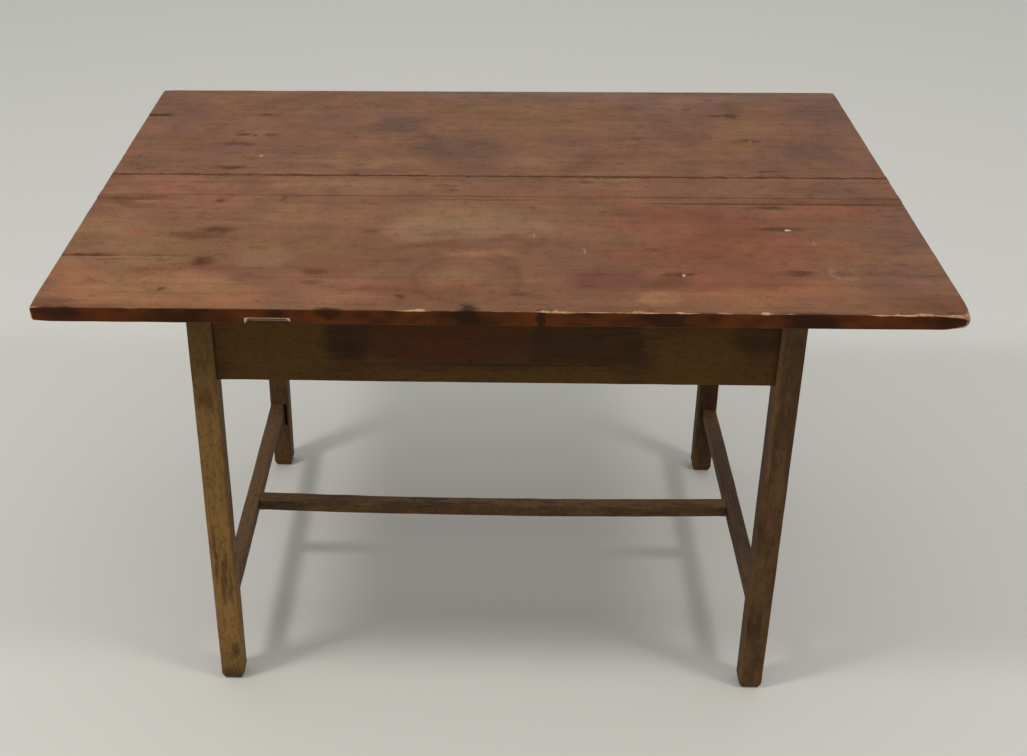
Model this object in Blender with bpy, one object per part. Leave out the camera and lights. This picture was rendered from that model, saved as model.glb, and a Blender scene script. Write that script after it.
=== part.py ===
"""Farmhouse table: a three-board top nailed onto a pegged frame with an H stretcher.

The table stands on the XY plane with its middle over the origin. X runs along the top, and the front is at -Y.
Lengths are in metres.
"""

from collections import namedtuple
from math import pi

import bmesh
import bpy
from mathutils import Matrix, Vector

for old in list(bpy.data.objects):
    bpy.data.objects.remove(old, do_unlink=True)

# Top boards
TABLE_HEIGHT = 0.735
TOP_LENGTH = 1.240
TOP_THICKNESS = 0.022
FRONT_BOARD_WIDTH = 0.394
MIDDLE_BOARD_WIDTH = 0.084
REAR_BOARD_WIDTH = 0.4254
SEAM_GAP = 0.0008
BOARD_ARRIS = 0.0030
SEAM_ARRIS = 0.0009

# Long chip broken out of the top's lower front arris
CHIP_CENTRE_X = -0.302
CHIP_LENGTH = 0.062
CHIP_HEIGHT = 0.009
CHIP_DEPTH = 0.010

# Legs, over their outer faces
FRAME_LENGTH = 0.876
FRAME_DEPTH = 0.680
LEG_SECTION = 0.036
LEG_ARRIS = 0.0018
FOOT_INSET = 0.0035
FOOT_RISE = 0.010

# Aprons, set back from the legs' outer faces
APRON_HEIGHT = 0.154
APRON_THICKNESS = 0.022
APRON_SETBACK = 0.0075
RAIL_ARRIS = 0.0012

# Stretchers, all at one height
STRETCHER_TOP = 0.144
STRETCHER_WIDTH = 0.025
STRETCHER_HEIGHT = 0.023
STRETCHER_SETBACK = 0.001
CENTRE_STRETCHER_Y = -0.017
CENTRE_STRETCHER_SAG = 0.006
CENTRE_STRETCHER_STEPS = 12

# Joints
CLEARANCE = 0.0003
MORTISE_SLACK = 0.0010
MITRE_GAP = 0.0005
APRON_TENON_THICKNESS = 0.010
APRON_TENON_LOWER_SHOULDER = 0.014
STRETCHER_TENON_THICKNESS = 0.012
STRETCHER_TENON_HEIGHT = 0.015
STRETCHER_TENON_LENGTH = 0.024
CENTRE_TENON_THICKNESS = 0.013
CENTRE_TENON_HEIGHT = 0.013
CENTRE_TENON_LENGTH = 0.016

# Empty mortise of an earlier rail, beside the stretcher on the rear left leg
OLD_MORTISE_WIDTH = 0.0060
OLD_MORTISE_HEIGHT = 0.048
OLD_MORTISE_DEPTH = 0.016
OLD_MORTISE_EDGE = 0.0035

# Cut nails with rectangular heads, sunk just under the surface
NAIL_HEAD_LENGTH = 0.007
NAIL_HEAD_WIDTH = 0.005
NAIL_HEAD_THICKNESS = 0.0015
NAIL_SHANK = 0.0034
NAIL_TIP = 0.0018
NAIL_SUNK = 0.0005
NAIL_BITE = 0.016
NAIL_TIP_MARGIN = 0.004
NAIL_SEAM_INSET = 0.028

# How far each hand-driven nail strays from its regular place, along the top and across it, from the front nail on
NAIL_STRAY = {
    "left": (
        (0.004, 0.011),
        (0.002, 0.009),
        (-0.006, 0.002),
        (0.001, -0.004),
        (-0.006, 0.005),
        (0.006, 0.022),
        (0.009, -0.002),
    ),
    "right": (
        (0.001, -0.005),
        (-0.001, 0.027),
        (0.002, -0.010),
        (-0.002, 0.003),
        (0.006, -0.002),
        (0.006, 0.006),
        (-0.009, -0.001),
    ),
}

# Round pegs, left a little proud
PEG_DIAMETER = 0.006
PEG_PROUD = 0.0005
PEG_CHAMFER = 0.0004
PEG_SIDES = 12
PEG_SPACING = 0.004

# Places worked out from the sizes above
TOP_DEPTH = FRONT_BOARD_WIDTH + MIDDLE_BOARD_WIDTH + REAR_BOARD_WIDTH + 2 * SEAM_GAP
TOP_UNDERSIDE = TABLE_HEIGHT - TOP_THICKNESS
FRAME_TOP = TOP_UNDERSIDE - CLEARANCE
LEG_X = (FRAME_LENGTH - LEG_SECTION) / 2
LEG_Y = (FRAME_DEPTH - LEG_SECTION) / 2
APRON_X = FRAME_LENGTH / 2 - APRON_SETBACK - APRON_THICKNESS / 2
APRON_Y = FRAME_DEPTH / 2 - APRON_SETBACK - APRON_THICKNESS / 2
APRON_Z = FRAME_TOP - APRON_HEIGHT / 2
STRETCHER_X = FRAME_LENGTH / 2 - STRETCHER_SETBACK - STRETCHER_WIDTH / 2
STRETCHER_Z = STRETCHER_TOP - STRETCHER_HEIGHT / 2
LONG_SPAN = FRAME_LENGTH - 2 * LEG_SECTION - 2 * CLEARANCE
SIDE_SPAN = FRAME_DEPTH - 2 * LEG_SECTION - 2 * CLEARANCE
CENTRE_SPAN = 2 * STRETCHER_X - STRETCHER_WIDTH - 2 * CLEARANCE

# A tenon's thickness, its lowest and highest level on its rail, and how far its inner and outer cheeks reach
Tenon = namedtuple("Tenon", "thickness low high inner_reach outer_reach")

# Two apron tenons meet in each leg, so their ends are mitred against each other
APRON_TENON_DEPTH = LEG_SECTION - APRON_SETBACK - (APRON_THICKNESS + APRON_TENON_THICKNESS) / 2
APRON_TENON = Tenon(
    thickness=APRON_TENON_THICKNESS,
    low=-APRON_HEIGHT / 2 + APRON_TENON_LOWER_SHOULDER,
    high=APRON_HEIGHT / 2 - NAIL_BITE - NAIL_TIP_MARGIN,
    inner_reach=APRON_TENON_DEPTH - MITRE_GAP,
    outer_reach=APRON_TENON_DEPTH + APRON_TENON_THICKNESS - MITRE_GAP,
)
STRETCHER_TENON = Tenon(
    thickness=STRETCHER_TENON_THICKNESS,
    low=-STRETCHER_TENON_HEIGHT / 2,
    high=STRETCHER_TENON_HEIGHT / 2,
    inner_reach=STRETCHER_TENON_LENGTH,
    outer_reach=STRETCHER_TENON_LENGTH,
)
CENTRE_TENON = Tenon(
    thickness=CENTRE_TENON_THICKNESS,
    low=-CENTRE_TENON_HEIGHT / 2,
    high=CENTRE_TENON_HEIGHT / 2,
    inner_reach=CENTRE_TENON_LENGTH,
    outer_reach=CENTRE_TENON_LENGTH,
)

SIDES = {"left": -1, "right": 1}
ENDS = {"front": -1, "rear": 1}

table = bpy.data.objects.new("table", None)
bpy.context.collection.objects.link(table)


def finish(name, srgb, roughness, metallic=0.0):
    """A plain surface of one colour, given as 0 to 255."""
    material = bpy.data.materials.new(name)
    material.use_nodes = True
    shader = material.node_tree.nodes["Principled BSDF"]
    linear = [(channel / 255) ** 2.2 for channel in srgb]
    shader.inputs["Base Color"].default_value = (*linear, 1.0)
    shader.inputs["Roughness"].default_value = roughness
    shader.inputs["Metallic"].default_value = metallic
    return material


PAINTED_TOP = finish("painted_top", (132, 88, 68), 0.55)
APRON_PAINT = finish("apron_paint", (66, 46, 24), 0.6)
LEG_PAINT = finish("leg_paint", (92, 62, 36), 0.6)
STRETCHER_WOOD = finish("stretcher_wood", (80, 62, 42), 0.65)
PEG_WOOD = finish("peg_wood", (62, 44, 28), 0.65)
NAIL_IRON = finish("nail_iron", (48, 40, 36), 0.7, 0.8)


def add_object(name, bm, location=(0, 0, 0), turn=0.0, material=None):
    """Turns a bmesh into an object of the table, standing at a place and turned about Z."""
    bmesh.ops.recalc_face_normals(bm, faces=bm.faces)
    mesh = bpy.data.meshes.new(name)
    bm.to_mesh(mesh)
    bm.free()
    if material:
        mesh.materials.append(material)
    obj = bpy.data.objects.new(name, mesh)
    obj.location = location
    obj.rotation_euler.z = turn
    obj.parent = table
    bpy.context.collection.objects.link(obj)
    return obj


def add_cutter(name, bm, location=(0, 0, 0), turn=0.0):
    """A solid that only takes material away."""
    cutter = add_object(name, bm, location, turn)
    cutter.hide_render = True
    cutter.display_type = "WIRE"
    return cutter


def cut(target, *cutters):
    for cutter in cutters:
        boolean = target.modifiers.new(cutter.name, "BOOLEAN")
        boolean.operation = "DIFFERENCE"
        boolean.solver = "EXACT"
        boolean.object = cutter


def add_box(bm, low, high):
    """A box between two corners, as new faces of a bmesh."""
    low, high = Vector(low), Vector(high)
    place = Matrix.Translation((low + high) / 2) @ Matrix.Diagonal((*(high - low), 1))
    bmesh.ops.create_cube(bm, size=1, matrix=place)


def face_along(bm, direction):
    """The face that lies furthest along a direction."""
    direction = Vector(direction)
    return max(bm.faces, key=lambda face: face.calc_center_median().dot(direction))


def pull_out(bm, face, root, tip):
    """Draws a smaller outline inside a face and pulls it out. root and tip say where each corner goes."""
    bmesh.ops.inset_region(bm, faces=[face], thickness=CLEARANCE)
    for vert in face.verts:
        vert.co = root(vert.co)
    pulled = bmesh.ops.extrude_discrete_faces(bm, faces=[face])["faces"][0]
    for vert in pulled.verts:
        vert.co = tip(vert.co)


def tenon_corner(tenon, side, shoulder, grow=0.0, reach_more=None):
    """Where a corner of a rail's end goes: at the shoulder, or at the tenon's tip when reach_more is given."""

    def place(co):
        outer = co.y < 0
        y = (tenon.thickness / 2 + grow) * (-1 if outer else 1)
        z = tenon.low - grow if co.z < (tenon.low + tenon.high) / 2 else tenon.high + grow
        if reach_more is None:
            return Vector((side * shoulder, y, z))
        reach = tenon.outer_reach if outer else tenon.inner_reach
        return Vector((side * (shoulder + reach + reach_more), y, z))

    return place


def add_rail(name, span, thickness, height, tenon, location, turn, material, sag=0.0):
    """A rail along its own X, with its outer face at -Y and a tenon on each end."""
    bm = bmesh.new()
    add_box(bm, (-span / 2, -thickness / 2, -height / 2), (span / 2, thickness / 2, height / 2))
    for side in (-1, 1):
        root = tenon_corner(tenon, side, span / 2)
        tip = tenon_corner(tenon, side, span / 2 + CLEARANCE, reach_more=0.0)
        pull_out(bm, face_along(bm, (side, 0, 0)), root, tip)
    bmesh.ops.bevel(
        bm, geom=lengthwise_edges(bm, span), offset=RAIL_ARRIS, segments=1, profile=0.5, affect="EDGES"
    )
    if sag:
        bmesh.ops.subdivide_edges(bm, edges=lengthwise_edges(bm, span), cuts=CENTRE_STRETCHER_STEPS - 1)
        for vert in bm.verts:
            vert.co.z -= sag * max(0.0, 1 - (2 * vert.co.x / span) ** 2)
    return add_object(name, bm, location, turn, material)


def lengthwise_edges(bm, span):
    return [edge for edge in bm.edges if abs(edge.verts[0].co.x - edge.verts[1].co.x) > span / 2]


def add_mortises(name, span, tenon, location, turn):
    """The hollows for both tenons of a rail: a little wider all round, and deeper at the tip."""
    bm = bmesh.new()
    for side in (-1, 1):
        shoulder = span / 2 + CLEARANCE
        start = shoulder - 2 * CLEARANCE
        inside = bmesh.ops.create_cube(bm, size=2)["verts"]
        tip = tenon_corner(tenon, side, shoulder, CLEARANCE, MORTISE_SLACK)
        root = tenon_corner(tenon, side, start, CLEARANCE)
        middle = (tenon.low + tenon.high) / 2
        for vert in inside:
            aim = Vector((0, vert.co.y, vert.co.z + middle))
            vert.co = tip(aim) if vert.co.x * side > 0 else root(aim)
    return add_cutter(name, bm, location, turn)


def add_board(name, front_y, width, seams, material):
    """A board of the top. seams names the long edges that meet another board."""
    bm = bmesh.new()
    add_box(bm, (-TOP_LENGTH / 2, 0, 0), (TOP_LENGTH / 2, width, TOP_THICKNESS))
    weights = bm.edges.layers.float.new("bevel_weight_edge")
    for edge in bm.edges:
        ys = [vert.co.y for vert in edge.verts]
        at_seam = ("front" in seams and max(ys) == 0) or ("rear" in seams and min(ys) > 0)
        edge[weights] = SEAM_ARRIS / BOARD_ARRIS if at_seam else 1.0
    board = add_object(name, bm, (0, front_y, TOP_UNDERSIDE), material=material)
    rounding = board.modifiers.new("worn_arrises", "BEVEL")
    rounding.limit_method = "WEIGHT"
    rounding.width = BOARD_ARRIS
    rounding.segments = 2
    return board


def add_leg(name, side, end, material):
    """A square leg with chamfered arrises and a foot drawn in at the floor."""
    bm = bmesh.new()
    half = LEG_SECTION / 2
    add_box(bm, (-half, -half, FOOT_RISE), (half, half, FRAME_TOP))
    ankle = face_along(bm, (0, 0, -1))
    sole = bmesh.ops.extrude_discrete_faces(bm, faces=[ankle])["faces"][0]
    for vert in sole.verts:
        vert.co *= (half - FOOT_INSET) / half
        vert.co.z = 0
    upright = [edge for edge in bm.edges if abs(edge.verts[0].co.z - edge.verts[1].co.z) > FOOT_RISE / 2]
    bmesh.ops.bevel(bm, geom=upright, offset=LEG_ARRIS, segments=1, profile=0.5, affect="EDGES")
    return add_object(name, bm, (side * LEG_X, end * LEG_Y, 0), material=material)


def add_nail_shape(bm, x, y, grow=0.0, head_rise=0.0):
    """A cut nail: a rectangular head over a square shank that narrows to its tip."""
    head_top = TABLE_HEIGHT - NAIL_SUNK
    head_low = head_top - NAIL_HEAD_THICKNESS - grow
    point = FRAME_TOP - NAIL_BITE - grow
    reach = Vector((NAIL_HEAD_LENGTH / 2 + grow, NAIL_HEAD_WIDTH / 2 + grow, 0))
    head = bmesh.new()
    add_box(head, Vector((0, 0, head_low)) - reach, Vector((0, 0, head_top + head_rise)) + reach)

    def shank_corner(size, z):
        def place(co):
            half = size / 2 + grow
            return Vector((half if co.x > 0 else -half, half if co.y > 0 else -half, z))

        return place

    pull_out(head, face_along(head, (0, 0, -1)), shank_corner(NAIL_SHANK, head_low), shank_corner(NAIL_TIP, point))
    bmesh.ops.translate(head, verts=head.verts, vec=(x, y, 0))
    shape = bpy.data.meshes.new("nail_shape")
    head.to_mesh(shape)
    head.free()
    bm.from_mesh(shape)
    bpy.data.meshes.remove(shape)


def add_peg_shape(bm, place, length, grow=0.0):
    """A round peg that enters along its own -Z, with its head at the place's origin."""
    depth = length + PEG_PROUD + 2 * grow
    middle = (PEG_PROUD - length) / 2
    made = bmesh.ops.create_cone(
        bm,
        cap_ends=True,
        segments=PEG_SIDES,
        radius1=PEG_DIAMETER / 2 + grow,
        radius2=PEG_DIAMETER / 2 + grow,
        depth=depth,
        matrix=place @ Matrix.Translation((0, 0, middle)),
    )
    return made["verts"]


def add_peg(name, place, length):
    bm = bmesh.new()
    add_peg_shape(bm, Matrix.Identity(4), length)
    rims = [edge for edge in bm.edges if abs(edge.verts[0].co.z - edge.verts[1].co.z) < PEG_CHAMFER]
    bmesh.ops.bevel(bm, geom=rims, offset=PEG_CHAMFER, segments=1, profile=0.5, affect="EDGES")
    peg = add_object(name, bm, material=PEG_WOOD)
    peg.matrix_local = place
    peg.data.shade_smooth()
    peg.data.set_sharp_from_angle(angle=pi / 4)
    return peg


def facing(location, outward):
    """A placement whose +Z looks outward from a surface."""
    turn = Vector(outward).to_track_quat("Z", "Y").to_matrix().to_4x4()
    return Matrix.Translation(location) @ turn


# The top: three boards side by side
front_seam_y = -TOP_DEPTH / 2 + FRONT_BOARD_WIDTH
rear_seam_y = TOP_DEPTH / 2 - REAR_BOARD_WIDTH
front_board = add_board("top_board_front", -TOP_DEPTH / 2, FRONT_BOARD_WIDTH, ("rear",), PAINTED_TOP)
middle_board = add_board(
    "top_board_middle", front_seam_y + SEAM_GAP, MIDDLE_BOARD_WIDTH, ("front", "rear"), PAINTED_TOP
)
rear_board = add_board("top_board_rear", rear_seam_y, REAR_BOARD_WIDTH, ("front",), PAINTED_TOP)

# The chip leaves a slope from the front edge down to the underside
chip = bmesh.new()
chip_low = Vector((CHIP_CENTRE_X - CHIP_LENGTH / 2, -TOP_DEPTH / 2 - CHIP_DEPTH, TOP_UNDERSIDE - CHIP_HEIGHT))
chip_high = Vector((CHIP_CENTRE_X + CHIP_LENGTH / 2, -TOP_DEPTH / 2 + CHIP_DEPTH, TOP_UNDERSIDE + CHIP_HEIGHT))
add_box(chip, chip_low, chip_high)
for vert in chip.verts:
    if vert.co.y > -TOP_DEPTH / 2 and vert.co.z > TOP_UNDERSIDE:
        vert.co.y = -TOP_DEPTH / 2 - CLEARANCE
cut(front_board, add_cutter("chip_cutter", chip))

# The legs
legs = {}
for side_name, side in SIDES.items():
    for end_name, end in ENDS.items():
        name = f"leg_{end_name}_{side_name}"
        legs[end_name, side_name] = add_leg(name, side, end, LEG_PAINT)

# The aprons, tenoned into the legs
aprons = {}
apron_places = {
    "front": (LONG_SPAN, (0, -APRON_Y, APRON_Z), 0.0),
    "rear": (LONG_SPAN, (0, APRON_Y, APRON_Z), pi),
    "left": (SIDE_SPAN, (-APRON_X, 0, APRON_Z), -pi / 2),
    "right": (SIDE_SPAN, (APRON_X, 0, APRON_Z), pi / 2),
}
for name, (span, location, turn) in apron_places.items():
    aprons[name] = add_rail(
        f"apron_{name}", span, APRON_THICKNESS, APRON_HEIGHT, APRON_TENON, location, turn, APRON_PAINT
    )
    mortises = add_mortises(f"apron_{name}_mortises", span, APRON_TENON, location, turn)
    for corner, leg in legs.items():
        if name in corner:
            cut(leg, mortises)

# The side stretchers, tenoned into the legs
stretchers = {}
for name, side in SIDES.items():
    location = (side * STRETCHER_X, 0, STRETCHER_Z)
    turn = side * pi / 2
    stretchers[name] = add_rail(
        f"stretcher_{name}",
        SIDE_SPAN,
        STRETCHER_WIDTH,
        STRETCHER_HEIGHT,
        STRETCHER_TENON,
        location,
        turn,
        STRETCHER_WOOD,
    )
    mortises = add_mortises(f"stretcher_{name}_mortises", SIDE_SPAN, STRETCHER_TENON, location, turn)
    cut(legs["front", name], mortises)
    cut(legs["rear", name], mortises)

# The centre stretcher, tenoned into the side stretchers and sagged between them
centre_place = (0, CENTRE_STRETCHER_Y, STRETCHER_Z)
centre_stretcher = add_rail(
    "stretcher_centre",
    CENTRE_SPAN,
    STRETCHER_WIDTH,
    STRETCHER_HEIGHT,
    CENTRE_TENON,
    centre_place,
    0.0,
    STRETCHER_WOOD,
    CENTRE_STRETCHER_SAG,
)
centre_mortises = add_mortises("stretcher_centre_mortises", CENTRE_SPAN, CENTRE_TENON, centre_place, 0.0)
cut(stretchers["left"], centre_mortises)
cut(stretchers["right"], centre_mortises)

# The empty mortise in the rear left leg
old_mortise = bmesh.new()
old_x = -FRAME_LENGTH / 2 + LEG_SECTION - OLD_MORTISE_EDGE
old_y = FRAME_DEPTH / 2 - LEG_SECTION
add_box(
    old_mortise,
    (old_x - OLD_MORTISE_WIDTH, old_y - OLD_MORTISE_DEPTH, STRETCHER_TOP - OLD_MORTISE_HEIGHT),
    (old_x, old_y + OLD_MORTISE_DEPTH, STRETCHER_TOP),
)
cut(legs["rear", "left"], add_cutter("old_mortise_cutter", old_mortise))

# Nails down each end: at the leg centres, beside the seams, between those, and in the middle board
rear_inner_y = rear_seam_y + NAIL_SEAM_INSET
front_inner_y = front_seam_y - NAIL_SEAM_INSET
nail_rows = [
    -LEG_Y,
    (front_inner_y - LEG_Y) / 2,
    front_inner_y,
    front_seam_y + SEAM_GAP + MIDDLE_BOARD_WIDTH / 2,
    rear_inner_y,
    (rear_inner_y + LEG_Y) / 2,
    LEG_Y,
]
for side_name, side in SIDES.items():
    holes = bmesh.new()
    for number, (row_y, stray) in enumerate(zip(nail_rows, NAIL_STRAY[side_name]), start=1):
        x = side * APRON_X + stray[0]
        y = row_y + stray[1]
        nail = bmesh.new()
        add_nail_shape(nail, x, y)
        add_object(f"nail_{side_name}_{number}", nail, material=NAIL_IRON)
        add_nail_shape(holes, x, y, CLEARANCE, TOP_THICKNESS)
    nail_holes = add_cutter(f"nail_holes_{side_name}", holes)
    for piece in (front_board, middle_board, rear_board, aprons[side_name]):
        cut(piece, nail_holes)
    for end_name in ENDS:
        cut(legs[end_name, side_name], nail_holes)

# Pegs through every tenon in the legs, each ending halfway into the wood behind it
apron_peg_length = LEG_SECTION - APRON_TENON_DEPTH / 2
apron_peg_inset = LEG_SECTION - APRON_TENON.inner_reach / 2
stretcher_cheek = LEG_SECTION - STRETCHER_SETBACK - (STRETCHER_WIDTH + STRETCHER_TENON_THICKNESS) / 2
stretcher_peg_length = LEG_SECTION - stretcher_cheek / 2
stretcher_peg_inset = LEG_SECTION - STRETCHER_TENON_LENGTH / 2
quarter = (APRON_TENON.high - APRON_TENON.low) / 4
stagger = (PEG_DIAMETER + PEG_SPACING) / 2
for (end_name, side_name), leg in legs.items():
    side, end = SIDES[side_name], ENDS[end_name]
    face_x, face_y = side * FRAME_LENGTH / 2, end * FRAME_DEPTH / 2
    middle_z = APRON_Z + (APRON_TENON.low + APRON_TENON.high) / 2
    holes = bmesh.new()
    pegs = []
    for level_name, level in (("upper", 1), ("lower", -1)):
        z = middle_z + level * quarter
        long_place = facing((face_x - side * apron_peg_inset, face_y, z + stagger), (0, end, 0))
        side_place = facing((face_x, face_y - end * apron_peg_inset, z - stagger), (side, 0, 0))
        pegs.append((f"apron_{end_name}_{level_name}", long_place, apron_peg_length))
        pegs.append((f"apron_{side_name}_{level_name}", side_place, apron_peg_length))
    stretcher_place = facing((face_x, face_y - end * stretcher_peg_inset, STRETCHER_Z), (side, 0, 0))
    pegs.append((f"stretcher_{side_name}", stretcher_place, stretcher_peg_length))
    for rail_name, place, length in pegs:
        add_peg(f"peg_{end_name}_{side_name}_{rail_name}", place, length)
        add_peg_shape(holes, place, length, CLEARANCE)
    peg_holes = add_cutter(f"peg_holes_{end_name}_{side_name}", holes)
    for piece in (leg, aprons[end_name], aprons[side_name], stretchers[side_name]):
        cut(piece, peg_holes)

# One peg down through each end of the centre stretcher
centre_peg_length = STRETCHER_HEIGHT - (STRETCHER_HEIGHT - CENTRE_TENON_HEIGHT) / 4
for side_name, side in SIDES.items():
    peg_x = STRETCHER_X - STRETCHER_WIDTH / 2 + CENTRE_TENON_LENGTH / 2
    place = facing((side * peg_x, CENTRE_STRETCHER_Y, STRETCHER_TOP), (0, 0, 1))
    add_peg(f"peg_stretcher_centre_{side_name}", place, centre_peg_length)
    hole = bmesh.new()
    add_peg_shape(hole, place, centre_peg_length, CLEARANCE)
    peg_hole = add_cutter(f"peg_hole_centre_{side_name}", hole)
    cut(stretchers[side_name], peg_hole)
    cut(centre_stretcher, peg_hole)
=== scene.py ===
# %% [markdown]
# # An old farmhouse table, dressed
#
# The solids of the table are already built: boards, legs, aprons, stretchers, nails and pegs, each at its
# real place and size, in metres. They are crisp, and the real table is not. A century of hands, pans and
# boots has rubbed its arrises, opened its seams and stained its paint. This lesson loads the solids as a
# fixed frame and then dresses each piece of timber with a worn copy of itself and a finish made of shader
# nodes.

# %% Load the frame
from math import hypot, pi, radians

import bmesh
import bpy
from mathutils import Matrix, Vector, noise


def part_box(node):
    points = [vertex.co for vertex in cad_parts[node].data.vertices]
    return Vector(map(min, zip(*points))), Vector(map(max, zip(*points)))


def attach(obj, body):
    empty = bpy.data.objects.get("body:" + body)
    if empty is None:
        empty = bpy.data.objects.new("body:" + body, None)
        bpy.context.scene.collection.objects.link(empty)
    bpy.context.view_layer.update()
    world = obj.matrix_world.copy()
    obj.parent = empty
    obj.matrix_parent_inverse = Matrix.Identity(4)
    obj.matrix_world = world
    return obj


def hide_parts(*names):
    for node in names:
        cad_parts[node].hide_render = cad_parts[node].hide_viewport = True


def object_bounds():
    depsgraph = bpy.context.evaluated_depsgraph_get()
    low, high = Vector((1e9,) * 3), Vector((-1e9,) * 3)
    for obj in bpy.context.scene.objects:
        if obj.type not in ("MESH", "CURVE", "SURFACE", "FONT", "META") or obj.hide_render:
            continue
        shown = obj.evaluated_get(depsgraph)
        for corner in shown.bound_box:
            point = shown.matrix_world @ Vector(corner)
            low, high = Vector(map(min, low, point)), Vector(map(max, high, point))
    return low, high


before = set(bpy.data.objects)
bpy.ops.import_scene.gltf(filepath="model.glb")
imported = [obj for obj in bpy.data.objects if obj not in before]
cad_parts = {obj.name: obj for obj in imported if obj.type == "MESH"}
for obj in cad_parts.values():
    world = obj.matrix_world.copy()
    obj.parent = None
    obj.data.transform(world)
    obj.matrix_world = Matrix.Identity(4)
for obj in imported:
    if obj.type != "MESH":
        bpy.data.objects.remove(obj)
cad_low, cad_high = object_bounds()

print(len(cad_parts), "solids, from", list(cad_low), "to", list(cad_high))

# %% [markdown]
# ## The camera
#
# A photograph fixes its own camera: how far it looks down, how long its lens is, and where it stood. The
# values here were fitted so that the corners of the top and the feet land where the photograph has them.
# The picture is a crop of a larger one, so the lens looks straight at a column left of the middle, and
# `shift_x` slides the view to match.

# %% Camera
PHOTO_WIDTH = 1027
FOCAL_LENGTH_PIXELS = 1455.15
STRAIGHT_AHEAD_COLUMN = 435.16
SENSOR_WIDTH = 36.0
EYE = Vector((-0.0077, -2.1614, 1.5960))
LOOK_LEFT = 0.04216
LOOK_DOWN = 0.51262
LEAN = -0.00924

lens = bpy.data.cameras.new("camera")
lens.sensor_width = SENSOR_WIDTH
lens.lens = SENSOR_WIDTH * FOCAL_LENGTH_PIXELS / PHOTO_WIDTH
lens.shift_x = 0.5 - STRAIGHT_AHEAD_COLUMN / PHOTO_WIDTH
camera = bpy.data.objects.new("camera", lens)
aim = Matrix.Rotation(LOOK_LEFT, 4, "Z") @ Matrix.Rotation(pi / 2 - LOOK_DOWN, 4, "X")
camera.matrix_world = Matrix.Translation(EYE) @ aim @ Matrix.Rotation(LEAN, 4, "Z")
bpy.context.scene.collection.objects.link(camera)
bpy.context.scene.camera = camera
print("lens", round(lens.lens, 2), "mm, shift", round(lens.shift_x, 4))

# %% [markdown]
# ## The studio
#
# A plain pale floor lies under a pale dome, which gives most of the light. Two soft lamps, high on the
# left and on the right and a little in front of the table, draw its shadows, and each reaches under the
# top from its own side. The top is the brightest face, and the fronts of the legs get about three
# quarters of its light. A weak lamp behind is what a white wall would send back: it skims over the top,
# and the old paint answers with a sheen.


# %% Colours as a picture shows them
def srgb(red, green, blue):
    """A colour from 0 to 255, as a screen shows it, turned into the linear light that shaders reckon in."""

    def linear(channel):
        share = channel / 255
        return share / 12.92 if share <= 0.04045 else ((share + 0.055) / 1.055) ** 2.4

    return (linear(red), linear(green), linear(blue), 1.0)


# %% Studio
FLOOR_SIZE = 24.0
FLOOR_COLOUR = srgb(216, 214, 203)
FLOOR_ROUGHNESS = 0.7
DOME_COLOUR = srgb(240, 242, 246)
DOME_STRENGTH = 0.70


def add_softbox(name, place, target, width, height, watts):
    """A flat area light that faces a target."""
    light = bpy.data.lights.new(name, "AREA")
    light.shape = "RECTANGLE"
    light.size = width
    light.size_y = height
    light.energy = watts
    box = bpy.data.objects.new(name, light)
    box.location = place
    box.rotation_euler = (Vector(target) - Vector(place)).to_track_quat("-Z", "Y").to_euler()
    bpy.context.scene.collection.objects.link(box)


table_middle = (cad_low + cad_high) / 2
add_softbox("left_softbox", (-2.2, -1.3, 3.9), table_middle, width=0.6, height=0.6, watts=50)
add_softbox("right_softbox", (2.2, -1.3, 3.9), table_middle, width=0.6, height=0.6, watts=32)
add_softbox("rear_softbox", (0.3, 3.6, 2.6), table_middle, width=4.0, height=1.8, watts=4)

scene = bpy.context.scene
scene.view_settings.view_transform = "Standard"
world = bpy.data.worlds.new("dome")
world.use_nodes = True
scene.world = world
dome = world.node_tree.nodes["Background"]
dome.inputs["Color"].default_value = DOME_COLOUR
dome.inputs["Strength"].default_value = DOME_STRENGTH

floor_shape = bmesh.new()
bmesh.ops.create_grid(floor_shape, x_segments=1, y_segments=1, size=FLOOR_SIZE / 2)
floor_mesh = bpy.data.meshes.new("floor")
floor_shape.to_mesh(floor_mesh)
floor_shape.free()
floor_finish = bpy.data.materials.new("pale_floor")
floor_finish.use_nodes = True
floor_shader = floor_finish.node_tree.nodes["Principled BSDF"]
floor_shader.inputs["Base Color"].default_value = FLOOR_COLOUR
floor_shader.inputs["Roughness"].default_value = FLOOR_ROUGHNESS
floor_mesh.materials.append(floor_finish)
floor = bpy.data.objects.new("floor", floor_mesh)
scene.collection.objects.link(floor)
print("floor", FLOOR_SIZE, "m wide")

# %% [markdown]
# ## Timber that has been handled
#
# Every piece starts as a block between the corners of its solid. A plain block can only be bent at its
# corners, so it is first sliced into a fine grid: `subdivide_edges` cuts all edges along one axis at
# once, and the new vertices then slide to where the slices are wanted, close together at the arrises and
# wider apart on the flats.
#
# An arris is the sharp edge between two planed faces, and it wears first. A bevel would wear it evenly.
# Here each vertex asks for the radius at its own place: it is pulled onto a ball of that radius, whose
# centre lies as deep inside the block as the ball is large. Flats stay flat, edges turn round, and the
# radius may wander along an edge. How far a vertex was pulled is kept as the attribute `wear`, so that
# the paint knows where it was rubbed away.

# %% Slices
ARRIS_SLICES = (0.0006, 0.0014, 0.0024, 0.0038, 0.0056, 0.0080)
CLOSEST_SLICES = 0.0004
AXES = (Vector((1, 0, 0)), Vector((0, 1, 0)), Vector((0, 0, 1)))


def slice_places(low, high, step, extra=()):
    """Where to slice one axis: evenly, closer at both ends, and at some extra places."""
    count = max(2, round((high - low) / step))
    wanted = [low + (high - low) * index / count for index in range(1, count)]
    for inset in ARRIS_SLICES:
        wanted += [low + inset, high - inset]
    places = [low]
    for place in sorted(wanted + list(extra)):
        if places[-1] + CLOSEST_SLICES < place < high - CLOSEST_SLICES:
            places.append(place)
    return places + [high]


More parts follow.
